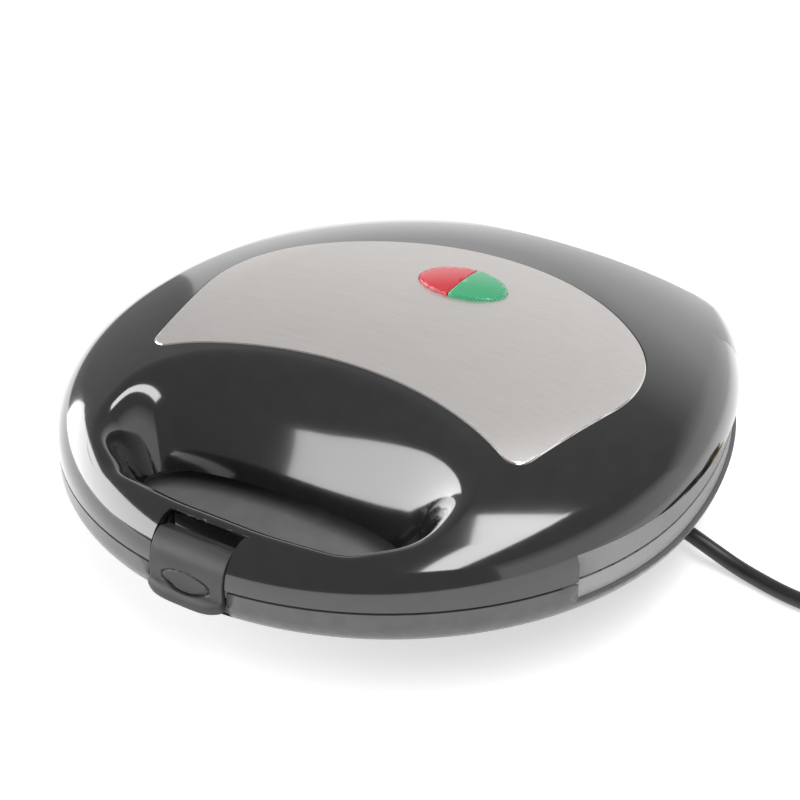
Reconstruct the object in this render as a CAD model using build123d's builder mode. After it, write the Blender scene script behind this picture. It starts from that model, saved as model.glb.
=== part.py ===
from build123d import *
import os
from math import asin, cos, dist, radians, sin, tan

# Mini-donut maker: two ring-mould hot plates in a hinged clamshell with a front latch.
# Millimetres. The origin is on the table under the middle, +X to the right of someone facing
# the front, -Y to the front, +Y to the hinge, +Z up.

# Overall form
body_radius = 114.0
rear_half_width = 71.0
corner_radius = 24.0
depth = 236.0
latch_reach = 3.0
parting_height = 40.0
lid_height = 31.0
parting_gap = 0.8
wall = 2.6
band_recess = 1.8

# Lid dome: a flat crown arc with a rounder shoulder arc outside it
dome_back = 16.0
crown_radius = 850.0
crown_flat = 6.0
crown_half_width = 70.0
shoulder_radius = 138.0
brow_radius = 13.0

# Finger well in the lid and the tray under it
bar_width = 18.5
well_half_width = 56.0
well_length = 47.5
well_end_radius = 20.0
well_top_end_radius = 28.5
well_flare_front = 3.5
well_flare_rear = 23.0
well_flare_side = 2.0
well_skirt = 5.0
well_lip_radius = 7.0
liner_well_gap = 1.6
tray_depth = 11.1
tray_clearance = 2.0
tray_draft = 8.0
tray_wall = 1.8
tray_end_radius = 18.5

# Matte side bands
band_front = 63.0
lid_band_height = 9.4
base_band_height = 6.6

# Steel panel and pilot lenses
panel_thickness = 0.8
panel_proud = 0.3
panel_gap = 0.4
panel_tip = (73.0, -41.5)
panel_side = (83.0, 5.0)
panel_shoulder = (69.0, 50.0)
panel_rear = 77.5
panel_front = -21.0
panel_tip_radius = 6.0
panel_bevel = 0.35
lens_half_length = 17.5
lens_half_width = 10.5
lens_back = 48.0
lens_rise = 1.6
lens_gap = 0.15
lens_flange = 1.6
lens_dome_radius = 95.0
holder_depth = 9.0
holder_wall = 1.5
lamp_diameter = 5.0
lamp_length = 11.0

# Hot plates
plate_margin = 21.0
plate_lip = 3.0
plate_flange = 2.0
plate_face_gap = 0.6
plate_opening_gap = 0.5
plate_well_gap = 10.0
plate_hinge_gap = 16.0
ring_pitch = 47.0
ring_radius = 14.25
ring_half_width = 7.75
ring_depth = 10.0
ring_wall = 2.5
pad_draft = 4.5
plate_taper = 19.0
plate_bow = 10.0
plate_rear_radius = 20.0
plate_tip_radius = 12.0

# Heating
element_diameter = 6.6
element_radius = 40.0
element_gap = 0.05
clip_width = 9.0
clip_wall = 1.5
clip_foot = 3.0
element_opening = 40.0
element_lead = 14.0
clip_angles = (0, 180, 240, 300)
thermostat_diameter = 16.0
thermostat_ears = 25.6
thermostat_height = 7.0
fuse_diameter = 4.8
fuse_length = 18.0
fuse_outset = 10.0
block_length = 22.0
block_width = 20.0
block_height = 8.0
clamp_width = 14.0
clamp_length = 8.0
clamp_height = 7.4

# Base
foot_height = 6.0
foot_radius = 9.0
foot_circle = 52.0
foot_seat = 1.0
pedestal_radius = 70.0
pedestal_height = 10.3
pedestal_back = 5.0
pan_slope = 13.5
pan_edge_radius = 9.5

# Hinge
hinge_inset = 6.5
knuckle_radius = 6.5
knuckle_gap = 0.6
hood_gap = 1.6
lid_knuckle = (38.2, 57.8)
inner_knuckle = (30.0, 37.6)
outer_knuckle = (58.4, 66.0)
pin_diameter = 4.0
pin_clearance = 0.08

# Latch
notch_half_width = 14.5
notch_depth = 13.0
cheek_height = 12.6
latch_gap = 0.5
latch_pin_diameter = 3.0
latch_pin_back = 9.0
latch_pin_height = 6.5
latch_thickness = 2.6
latch_set_back = 1.0
latch_drop = 8.5
latch_top_angle = 32.0
latch_bow_angle = 29.0
lip_bend_out = 0.2
lip_bend_rise = 4.675
lip_bow = 0.6
lip_thickness = 1.7
keeper_half_width = 9.0
keeper_reach = 2.7
keeper_height = 2.4
barb_clearance = 0.35
barb_play = 0.4
barb_nose_drop = 2.2
barb_root_drop = 3.2
barb_root_inset = 0.4
neck_offset = 0.8
neck_half_height = 1.0
recess_depth = 5.4
latch_boss_radius = 3.3
latch_boss_shoulder = 2.0
oval_half_length = 9.5
oval_half_height = 3.6
oval_line = 0.7
oval_engraving = 0.45
oval_drop = 1.5

# Screws
screw_diameter = 3.0
screw_head_diameter = 6.0
screw_head_height = 1.8
screw_length = 9.0
boss_diameter = 8.0
screw_side_inset = 11.0
screw_side_back = 8.0
screw_front_half = 72.0
screw_front_back = 51.0

# Wiring
loom_diameter = 4.0
loom_gap = 0.4
loom_run = 16.0
lid_loom_x = 25.0
loom_bend_back = 11.5
loom_bend_drop = 9.6
lug_size = 6.0
lug_x = 8.0
fit_gap = 0.2

# Cord and plug
cord_diameter = 5.5
boot_diameter = 8.4
boot_tip_diameter = 6.8
boot_neck_diameter = 6.6
boot_length = 13.0
outlet_angle = 17.0
outlet_height = 12.0
bend_share = 0.45
cord_first_run = 15.0
coil_lead = 19.25
coil_radius = 33.0
coil_gap = 0.5
coil_heading = 8.0
coil_sample = 0.5
coil_apart = 22.0
tie_width = 5.0
tie_thickness = 1.0
tie_gap = 0.3
plug_cone = 12.0
plug_length = 20.0
plug_width = 24.0
plug_round = 4.0
blade_length = 16.0
blade_width = 6.3
blade_thickness = 1.5
blade_pitch = 12.7

# Places that follow from the sizes above
rear_y = depth / 2
front_y = latch_reach - depth / 2
plan_y = front_y + body_radius
flank_run = body_radius - rear_half_width
flank_radius = (flank_run**2 + (rear_y - plan_y) ** 2) / (2 * flank_run)
lid_low = parting_height + parting_gap / 2
base_top = parting_height - parting_gap / 2
lid_top = parting_height + lid_height
side_wall = wall + band_recess
dome_y = plan_y + dome_back
dome_axis = Axis((0, dome_y, 0), (0, 0, 1))
dome_plane = Plane(origin=(0, dome_y, 0), x_dir=(1, 0, 0), z_dir=(0, -1, 0))
well_low = parting_height - well_skirt
well_front = front_y + bar_width
well_rear = well_front + well_length
hinge_y = rear_y - hinge_inset
hinge_z = parting_height
hood_radius = knuckle_radius + hood_gap
plate_front = well_rear + plate_well_gap + wall
plate_rear = hinge_y - plate_hinge_gap
plate_y = (plate_front + plate_rear) / 2
lens_y = plan_y + lens_back
pedestal_y = plan_y + pedestal_back
pedestal_axis = Axis((0, pedestal_y, 0), (0, 0, 1))
pedestal_plane = Plane(origin=(0, pedestal_y, 0), x_dir=(1, 0, 0), z_dir=(0, -1, 0))
latch_y = front_y + latch_pin_back
latch_z = parting_height + latch_pin_height
latch_pin_half = notch_half_width + wall - 2 * fit_gap

os.makedirs("parts", exist_ok=True)


def write(builder, name):
    builder.part.label = name
    export_step(builder.part, f"parts/{name}.step")


# Plan outline of the clamshell: round front, drawn-in flanks, flat rear with rounded corners
def plan_outline(inset, height):
    radius = body_radius - inset
    rear = rear_y - inset
    flank = flank_radius - inset
    flank_x = body_radius - flank_radius
    turn = asin((rear - plan_y) / flank)
    corner_x = flank_x + flank * cos(turn)
    middle_x = flank_x + flank * cos(turn / 2)
    middle_y = plan_y + flank * sin(turn / 2)
    with BuildSketch(Plane.XY.offset(height)) as outline:
        with BuildLine():
            ThreePointArc((-radius, plan_y), (0, plan_y - radius), (radius, plan_y))
            ThreePointArc((radius, plan_y), (middle_x, middle_y), (corner_x, rear))
            Line((corner_x, rear), (-corner_x, rear))
            ThreePointArc((-corner_x, rear), (-middle_x, middle_y), (-radius, plan_y))
        make_face()
        fillet(outline.vertices().group_by(Axis.Y)[-1], corner_radius - inset)
    return outline.sketch


# Half section of everything under the lid's dome, lowered by a given drop
def dome_section(drop):
    flat_turn = asin(crown_flat / crown_radius)
    crown_turn = asin(crown_half_width / crown_radius)
    shoulder_x = crown_half_width - shoulder_radius * sin(crown_turn)
    shoulder_z = lid_top - crown_radius + (crown_radius - shoulder_radius) * cos(crown_turn)
    shoulder_turn = asin((body_radius + dome_back + corner_radius - shoulder_x) / shoulder_radius)

    def crown_point(turn):
        radius = crown_radius - drop
        return radius * sin(turn), lid_top - crown_radius + radius * cos(turn)

    def shoulder_point(turn):
        radius = shoulder_radius - drop
        return shoulder_x + radius * sin(turn), shoulder_z + radius * cos(turn)

    rim = shoulder_point(shoulder_turn)
    middle = shoulder_point((crown_turn + shoulder_turn) / 2)
    with BuildSketch(dome_plane) as section:
        with BuildLine():
            flat = crown_point(flat_turn)
            Line((0, flat[1]), flat)
            ThreePointArc(flat, crown_point(crown_turn / 2), crown_point(crown_turn))
            ThreePointArc(shoulder_point(crown_turn), middle, rim)
            Polyline(rim, (rim[0], 0), (0, 0), (0, flat[1]))
        make_face()
    return section.sketch


# Oval of two end arcs and two long arcs between a front and a rear edge
def oval(half_width, front, rear, end_radius, height):
    middle = (front + rear) / 2
    half_length = (rear - front) / 2
    reach = half_width - end_radius
    long_radius = (reach**2 + half_length**2 - end_radius**2) / (2 * (half_length - end_radius))
    lean = end_radius / (long_radius - end_radius)
    join_x = reach * (1 + lean)
    join_y = lean * (long_radius - half_length)
    with BuildSketch(Plane.XY.offset(height)) as outline:
        with BuildLine():
            ThreePointArc((-join_x, middle + join_y), (0, rear), (join_x, middle + join_y))
            ThreePointArc((join_x, middle + join_y), (half_width, middle), (join_x, middle - join_y))
            ThreePointArc((join_x, middle - join_y), (0, front), (-join_x, middle - join_y))
            ThreePointArc((-join_x, middle - join_y), (-half_width, middle), (-join_x, middle + join_y))
        make_face()
    return outline.sketch


# Finger well through the lid, grown on all sides by a given amount
def well_sections(grow):
    low = oval(
        well_half_width + grow,
        well_front - grow,
        well_rear + grow,
        well_end_radius + grow,
        well_low,
    )
    high = oval(
        well_half_width + well_flare_side + grow,
        well_front - well_flare_front - grow,
        well_rear + well_flare_rear + grow,
        well_top_end_radius + grow,
        lid_top + 1,
    )
    return [low.face(), high.face()]


# Lid form: the plan under the dome, with a round brow and the well through it
def lid_form(inset, side_inset, low):
    extrude(plan_outline(side_inset, low), amount=lid_top + 5 - low)
    revolve(dome_section(inset), axis=dome_axis, mode=Mode.INTERSECT)
    sides = faces().filter_by(lambda f: abs(f.normal_at(f.center()).Z) < 0.01)
    brow = sides.edges().filter_by(Axis.Z, reverse=True).filter_by(lambda e: e.center().Z > low + 1)
    fillet(brow, brow_radius - side_inset)
    loft(well_sections(inset), mode=Mode.SUBTRACT)


# Space behind and around the hinge barrel that the lid keeps clear, grown by a given amount
def hood_space(grow):
    reach = hood_radius + grow
    with BuildPart() as space:
        with Locations((0, hinge_y, hinge_z)):
            Cylinder(reach, 2 * body_radius, rotation=(0, 90, 0))
        with Locations((0, hinge_y, hinge_z + reach)):
            Box(2 * body_radius, 2 * corner_radius, lid_top, align=(Align.CENTER, Align.MIN, Align.MAX))
    return space.part


# Trough round the hinge barrel in the base, grown by a given amount
def barrel_space(grow):
    with BuildPart() as space:
        with Locations((0, hinge_y, hinge_z)):
            Cylinder(
                knuckle_radius + knuckle_gap + grow,
                2 * (outer_knuckle[1] + grow),
                rotation=(0, 90, 0),
            )
    return space.part


# Block in front of a given depth at the latch, grown by a given amount
def latch_space(half_width, behind_front, low):
    with BuildPart() as space:
        with Locations((0, front_y + behind_front, low)):
            Box(2 * half_width, 2 * depth, 2 * lid_top, align=(Align.CENTER, Align.MAX, Align.MIN))
    return space.part


# Ring of material that the matte bands cut off the sides, from the front step to the hinge
def band_space(low, height):
    with BuildPart() as space:
        extrude(plan_outline(-wall, low), amount=height)
        extrude(plan_outline(band_recess, low), amount=height, mode=Mode.SUBTRACT)
        with Locations((0, front_y + band_front, low)):
            Box(
                4 * body_radius,
                2 * depth,
                4 * height,
                align=(Align.CENTER, Align.MAX, Align.CENTER),
                mode=Mode.SUBTRACT,
            )
        with Locations((0, rear_y, low)):
            Box(2 * (outer_knuckle[1] + 2 * wall), corner_radius, 4 * height, mode=Mode.SUBTRACT)
    return space.part


# Steel panel outline: a bean with its hollow side to the front
def panel_outline(grow):
    with BuildSketch(Plane.XY.offset(parting_height)) as outline:
        with BuildLine() as right:
            tip = (panel_tip[0], plan_y + panel_tip[1])
            rear_arc = TangentArc(
                (0, plan_y + panel_rear),
                (panel_shoulder[0], plan_y + panel_shoulder[1]),
                tangent=(1, 0),
            )
            side_arc = TangentArc(
                rear_arc @ 1,
                (panel_side[0], plan_y + panel_side[1]),
                tangent=rear_arc % 1,
            )
            Line(side_arc @ 1, tip)
            mirror(right.line, about=Plane.YZ)
            ThreePointArc((-tip[0], tip[1]), (0, plan_y + panel_front), tip)
        make_face()
        fillet(outline.vertices().group_by(Axis.Y)[0], panel_tip_radius)
        if grow:
            offset(amount=grow)
    return outline.sketch


# Hot plate outline: follows the flanks, flat at the hinge, bowed round the well at the front
def plate_outline(grow, height):
    half_width = body_radius - plate_margin
    flank = flank_radius - plate_margin
    flank_x = body_radius - flank_radius
    turn = asin((plate_rear - plan_y) / flank)
    corner_x = flank_x + flank * cos(turn)
    middle_x = flank_x + flank * cos(turn / 2)
    middle_y = plan_y + flank * sin(turn / 2)
    tip_x = half_width - plate_taper
    tip_y = plate_front - plate_bow
    with BuildSketch(Plane.XY.offset(height)) as outline:
        with BuildLine():
            ThreePointArc((-tip_x, tip_y), (0, plate_front), (tip_x, tip_y))
            Line((tip_x, tip_y), (half_width, plan_y))
            ThreePointArc((half_width, plan_y), (middle_x, middle_y), (corner_x, plate_rear))
            Line((corner_x, plate_rear), (-corner_x, plate_rear))
            ThreePointArc((-corner_x, plate_rear), (-middle_x, middle_y), (-half_width, plan_y))
            Line((-half_width, plan_y), (-tip_x, tip_y))
        make_face()
        fillet(outline.vertices().group_by(Axis.Y)[-1], plate_rear_radius)
        fillet(outline.vertices().group_by(Axis.Y)[0], plate_tip_radius)
        if grow:
            offset(amount=grow)
    return outline.sketch


# Bowl under the base: a round pedestal with a shallow cone above it, thinned by a given inset
def bowl_section(inset):
    low = foot_height + inset
    step = low + pedestal_height - inset * tan(radians(pan_slope))
    inner = pedestal_radius - inset
    outer = 2 * body_radius
    with BuildSketch(pedestal_plane) as section:
        with BuildLine():
            Polyline(
                (0, low),
                (inner, low),
                (inner, step),
                (outer, step + (outer - inner) * tan(radians(pan_slope))),
                (outer, lid_top * 2),
                (0, lid_top * 2),
                close=True,
            )
        make_face()
    return section.sketch


# Base form: the plan above the bowl, with a round lower edge
def base_form(inset, side_inset, high):
    extrude(plan_outline(side_inset, foot_height), amount=high - foot_height)
    revolve(bowl_section(inset), axis=pedestal_axis, mode=Mode.INTERSECT)
    step = foot_height + inset + pedestal_height
    curved = edges().filter_by(GeomType.LINE, reverse=True)
    fillet(curved.filter_by(lambda e: step + 1 < e.center().Z < high - 1), pan_edge_radius - side_inset)


def along_x(radius, start, end, y, z, mode=Mode.ADD):
    with Locations(((start + end) / 2, y, z)):
        Cylinder(radius, end - start, rotation=(0, 90, 0), mode=mode)


# Straight round wire or bore from one point toward another
def rod(radius, start, toward, length, mode=Mode.ADD):
    direction = Vector(*toward) - Vector(*start)
    with Locations(Plane(origin=start, z_dir=direction)):
        Cylinder(radius, length, align=(Align.CENTER, Align.CENTER, Align.MIN), mode=mode)


screw_spots = [
    (side * (body_radius - screw_side_inset), plan_y + screw_side_back) for side in (-1, 1)
] + [(side * screw_front_half, front_y + screw_front_back) for side in (-1, 1)]
liner_top = lid_low + wall
deck_low = base_top - wall
loom_turn = (lid_loom_x, hinge_y, hinge_z)
loom_rise = (lid_loom_x, hinge_y - loom_run, hinge_z + loom_run)

with BuildPart() as lid_core:
    lid_form(wall, side_wall, lid_low - 1)
    add(hood_space(wall), mode=Mode.SUBTRACT)
    with Locations(*[(x, y, liner_top) for x, y in screw_spots]):
        Cylinder(
            boss_diameter / 2,
            lid_height,
            align=(Align.CENTER, Align.CENTER, Align.MIN),
            mode=Mode.SUBTRACT,
        )

# Skirt of the well below the parting line, longest at the rear
skirt_slope = (lid_low - well_low) / well_length
with BuildPart() as well_skirt:
    loft(well_sections(wall))
    loft(well_sections(0), mode=Mode.SUBTRACT)
    split(bisect_by=Plane.XY.offset(liner_top), keep=Keep.BOTTOM)
    split(bisect_by=Plane(origin=(0, well_rear, well_low), z_dir=(0, skirt_slope, 1)), keep=Keep.TOP)

with BuildPart() as panel_pocket:
    extrude(panel_outline(panel_gap), amount=2 * lid_height)
    revolve(dome_section(panel_thickness - panel_proud), axis=dome_axis, mode=Mode.SUBTRACT)

with BuildPart() as lid_shell:
    lid_form(0, 0, lid_low)
    add(lid_core.part, mode=Mode.SUBTRACT)
    well_wall = lid_shell.faces().sort_by_distance((0, (well_front + well_rear) / 2, lid_low + wall))[0]
    fillet(well_wall.edges().filter_by(lambda e: e.center().Z > liner_top), well_lip_radius)
    add(well_skirt.part)
    for side in (-1, 1):
        with BuildSketch(Plane.YZ.offset(side * (notch_half_width + wall / 2))):
            with BuildLine():
                Polyline(
                    (front_y + wall, lid_low),
                    (well_front - wall / 2, lid_low),
                    (well_front - wall / 2, lid_low + cheek_height),
                    (front_y + wall, lid_low + cheek_height / 3),
                    close=True,
                )
            make_face()
        extrude(amount=wall / 2, both=True)
    add(latch_space(notch_half_width, notch_depth, 0), mode=Mode.SUBTRACT)
    add(band_space(lid_low, lid_band_height), mode=Mode.SUBTRACT)
    add(panel_pocket.part, mode=Mode.SUBTRACT)
    with BuildSketch(Plane.XY.offset(parting_height + lid_height / 2)):
        with Locations((0, lens_y)):
            Ellipse(lens_half_length + lens_gap, lens_half_width + lens_gap)
    extrude(amount=lid_height, mode=Mode.SUBTRACT)
    add(hood_space(0), mode=Mode.SUBTRACT)
    for side in (-1, 1):
        start, end = sorted((side * lid_knuckle[0], side * lid_knuckle[1]))
        along_x(knuckle_radius, start, end, hinge_y, hinge_z)
        with Locations(((start + end) / 2, hinge_y, hinge_z)):
            Box(
                end - start,
                hood_radius + wall / 2,
                hood_radius + wall / 2,
                align=(Align.CENTER, Align.MAX, Align.MIN),
            )
        along_x(pin_diameter / 2 + pin_clearance, start, end, hinge_y, hinge_z, Mode.SUBTRACT)
    rod(loom_diameter / 2 + loom_gap, loom_turn, loom_rise, hood_radius + 2 * wall, Mode.SUBTRACT)
    along_x(
        latch_pin_diameter / 2,
        -latch_pin_half,
        latch_pin_half,
        latch_y,
        latch_z,
        Mode.SUBTRACT,
    )
    with Locations(*[(x, y, liner_top) for x, y in screw_spots]):
        Cylinder(
            screw_diameter / 2,
            screw_length - wall,
            align=(Align.CENTER, Align.CENTER, Align.MIN),
            mode=Mode.SUBTRACT,
        )
write(lid_shell, "lid_shell")

skirt_lean = well_flare_rear * (liner_top - well_low) / (lid_top + 1 - well_low)
with BuildPart() as lid_liner:
    extrude(plan_outline(side_wall + fit_gap, lid_low), amount=wall)
    extrude(plate_outline(plate_opening_gap, lid_low), amount=wall, mode=Mode.SUBTRACT)
    liner_grow = wall + liner_well_gap
    liner_hole = oval(
        well_half_width + liner_grow,
        well_front - liner_grow,
        well_rear + liner_grow + skirt_lean,
        well_end_radius + liner_grow + liner_well_gap,
        lid_low,
    )
    extrude(liner_hole, amount=wall, mode=Mode.SUBTRACT)
    add(latch_space(notch_half_width + wall + fit_gap, bar_width + well_length / 2, 0), mode=Mode.SUBTRACT)
    add(hood_space(wall + fit_gap), mode=Mode.SUBTRACT)
    with Locations(*[Location((x, y, lid_low), (180, 0, 0)) for x, y in screw_spots]):
        CounterBoreHole(screw_diameter / 2, screw_head_diameter / 2, screw_head_height, depth=wall)
write(lid_liner, "lid_liner")

with BuildPart() as steel_panel:
    extrude(panel_outline(0), amount=2 * lid_height)
    revolve(dome_section(-panel_proud), axis=dome_axis, mode=Mode.INTERSECT)
    walls = steel_panel.faces().filter_by(lambda f: abs(f.normal_at(f.center()).Z) < 0.01)
    rim = walls.edges().filter_by(Axis.Z, reverse=True)
    chamfer(rim.filter_by(lambda e: e.center().Z > parting_height + 1), panel_bevel)
    revolve(dome_section(panel_thickness - panel_proud), axis=dome_axis, mode=Mode.SUBTRACT)
    with BuildSketch(Plane.XY.offset(parting_height)):
        with Locations((0, lens_y)):
            Ellipse(lens_half_length + lens_gap, lens_half_width + lens_gap)
    extrude(amount=2 * lid_height, mode=Mode.SUBTRACT)
write(steel_panel, "steel_panel")

# Pilot lenses: one domed oval, red on the left and green on the right
lens_low = lid_top - panel_thickness - wall - lens_flange
for name, side in (("red_lens", -1), ("green_lens", 1)):
    with BuildPart() as lens:
        with BuildSketch(Plane.XY.offset(lens_low)):
            with Locations((0, lens_y)):
                Ellipse(lens_half_length + lens_flange, lens_half_width + lens_flange)
        extrude(amount=lens_flange - 3 * fit_gap)
        with BuildSketch(Plane.XY.offset(lens_low)):
            with Locations((0, lens_y)):
                Ellipse(lens_half_length, lens_half_width)
        extrude(amount=lid_height)
        with Locations((0, lens_y, lid_top + lens_rise - lens_dome_radius)):
            Sphere(lens_dome_radius, mode=Mode.INTERSECT)
        with Locations((side * lens_gap, lens_y, lens_low)):
            Box(
                lens_half_length * 3,
                lens_half_length * 3,
                lid_height * 3,
                align=(Align.MAX if side > 0 else Align.MIN, Align.CENTER, Align.CENTER),
                mode=Mode.SUBTRACT,
            )
    write(lens, name)

# Lamp holder: an oval cup under the lenses with a wall between the two lamps
holder_low = lens_low - holder_depth
with BuildPart() as lamp_holder:
    with BuildSketch(Plane.XY.offset(holder_low)):
        with Locations((0, lens_y)):
            Ellipse(lens_half_length + lens_flange, lens_half_width + lens_flange)
    extrude(amount=holder_depth)
    with BuildSketch(Plane.XY.offset(holder_low + holder_wall)):
        with Locations((0, lens_y)):
            Ellipse(lens_half_length, lens_half_width)
            Rectangle(holder_wall, 3 * lens_half_width, mode=Mode.SUBTRACT)
    extrude(amount=holder_depth, mode=Mode.SUBTRACT)
    with Locations((lug_x, lens_y + lens_half_width, holder_low)):
        Box(lug_size, lug_size, lug_size, align=(Align.CENTER, Align.MIN, Align.MIN))
write(lamp_holder, "lamp_holder")

# Neon lamps: glass capsules lying on the cup's floor, one under each lens
with BuildPart() as neon_lamps:
    lamp_z = holder_low + holder_wall + lamp_diameter / 2
    for side in (-1, 1):
        middle = side * lens_half_length / 2
        along_x(lamp_diameter / 2, middle - lamp_length / 2, middle + lamp_length / 2, lens_y, lamp_z)
    fillet(neon_lamps.edges().filter_by(GeomType.CIRCLE), lamp_diameter / 2 - fit_gap)
write(neon_lamps, "neon_lamps")

ring_spots = [(0, plate_y)] + [
    (ring_pitch * cos(radians(60 * step)), plate_y + ring_pitch * sin(radians(60 * step)))
    for step in range(6)
]

# Mould for one side of a ring cake: an elliptic ring about its own middle
with BuildPart() as ring_mould:
    with BuildSketch(Plane.XZ):
        with Locations((ring_radius, 0)):
            Ellipse(ring_half_width, ring_depth)
    revolve(axis=Axis.Z)


# Cast hot plate with ring moulds in its face and a drafted pad behind each mould
def hot_plate(face, flange, facing):
    pad_end = face - facing * (ring_depth + ring_wall)
    pad_radius = ring_radius + ring_half_width + ring_wall
    extrude(plate_outline(0, face), amount=abs(face - flange) + plate_flange, dir=(0, 0, -facing))
    extrude(plate_outline(plate_lip, flange), amount=plate_flange, dir=(0, 0, -facing))
    pad_height = abs(pad_end - flange)
    low, high = (pad_radius - pad_draft, pad_radius) if facing > 0 else (pad_radius, pad_radius - pad_draft)
    with Locations(*[(x, y, (pad_end + flange) / 2) for x, y in ring_spots]):
        Cone(low, high, pad_height)
    with Locations(*[(x, y, face) for x, y in ring_spots]):
        add(ring_mould.part, mode=Mode.SUBTRACT)


upper_face = parting_height + plate_face_gap
lower_face = parting_height - plate_face_gap
with BuildPart() as upper_plate:
    hot_plate(upper_face, liner_top, -1)
write(upper_plate, "upper_plate")

with BuildPart() as lower_plate:
    hot_plate(lower_face, deck_low, 1)
write(lower_plate, "lower_plate")


# Tubular element: an open ring with two straight leads toward the hinge
def element_tube(radius, height):
    with BuildPart() as tube:
        with BuildLine() as path:
            ring = CenterArc(
                (0, plate_y, height),
                element_radius,
                90 + element_opening,
                360 - 2 * element_opening,
            )
            PolarLine(ring @ 1, element_lead, direction=ring % 1)
            PolarLine(ring @ 0, element_lead, direction=-(ring % 0))
        with BuildSketch(Plane(origin=path.wire() @ 0, z_dir=path.wire() % 0)):
            Circle(radius)
        sweep(path=path.wire())
    return tube.part


# Saddle clips that hold the element to the pads
def element_clips(pad_end, facing):
    height = element_diameter + 2 * element_gap + clip_wall
    spots = []
    for angle in clip_angles:
        x = element_radius * cos(radians(angle))
        y = plate_y + element_radius * sin(radians(angle))
        spots.append(Location((x, y, pad_end - facing * height / 2), (0, 0, angle)))
    with Locations(*spots):
        Box(element_diameter + 2 * clip_foot, clip_width, height)
    bore = element_diameter / 2 + element_gap
    add(element_tube(bore, pad_end - facing * bore), mode=Mode.SUBTRACT)
    rise = Vector(0, 0, facing * height / 2)
    spots = [Location(spot.position + rise, spot.orientation) for spot in spots]
    with Locations(*spots):
        Box(2 * bore, 2 * clip_width, 2 * bore, mode=Mode.SUBTRACT)


for name, face, facing in (("upper", upper_face, -1), ("lower", lower_face, 1)):
    pad_end = face - facing * (ring_depth + ring_wall)
    with BuildPart() as element:
        add(element_tube(element_diameter / 2, pad_end - facing * (element_diameter / 2 + element_gap)))
    write(element, f"{name}_element")
    with BuildPart() as clips:
        element_clips(pad_end, facing)
    write(clips, f"{name}_element_clips")

# Bimetal thermostat on the middle pad of the lower plate
pad_low = lower_face - ring_depth - ring_wall
with BuildPart() as thermostat:
    with Locations((0, plate_y, pad_low)):
        Cylinder(thermostat_diameter / 2, thermostat_height, align=(Align.CENTER, Align.CENTER, Align.MAX))
        Box(
            thermostat_ears,
            thermostat_diameter / 2,
            holder_wall,
            align=(Align.CENTER, Align.CENTER, Align.MAX),
        )
write(thermostat, "thermostat")

# Thermal fuse in its sleeve, strapped across an outer pad
with BuildPart() as thermal_fuse:
    with Locations((-ring_pitch - fuse_outset, plate_y, pad_low - fuse_diameter / 2)):
        Cylinder(fuse_diameter / 2, fuse_length, rotation=(90, 0, 0))
        Box(fuse_diameter + 2 * holder_wall, fuse_length / 3, fuse_diameter)
write(thermal_fuse, "thermal_fuse")

with BuildPart() as latch_pin:
    along_x(latch_pin_diameter / 2, -latch_pin_half, latch_pin_half, latch_y, latch_z)
write(latch_pin, "latch_pin")


def screw_set(height, facing):
    flip = 0 if facing > 0 else 180
    for x, y in screw_spots:
        with Locations(Location((x, y, height), (flip, 0, 0))):
            Cylinder(
                screw_head_diameter / 2,
                screw_head_height,
                align=(Align.CENTER, Align.CENTER, Align.MAX),
            )
            Cylinder(screw_diameter / 2, screw_length, align=(Align.CENTER, Align.CENTER, Align.MAX))


with BuildPart() as lid_screws:
    screw_set(lid_low, -1)
write(lid_screws, "lid_screws")

with BuildPart() as base_screws:
    screw_set(base_top, 1)
write(base_screws, "base_screws")

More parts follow.
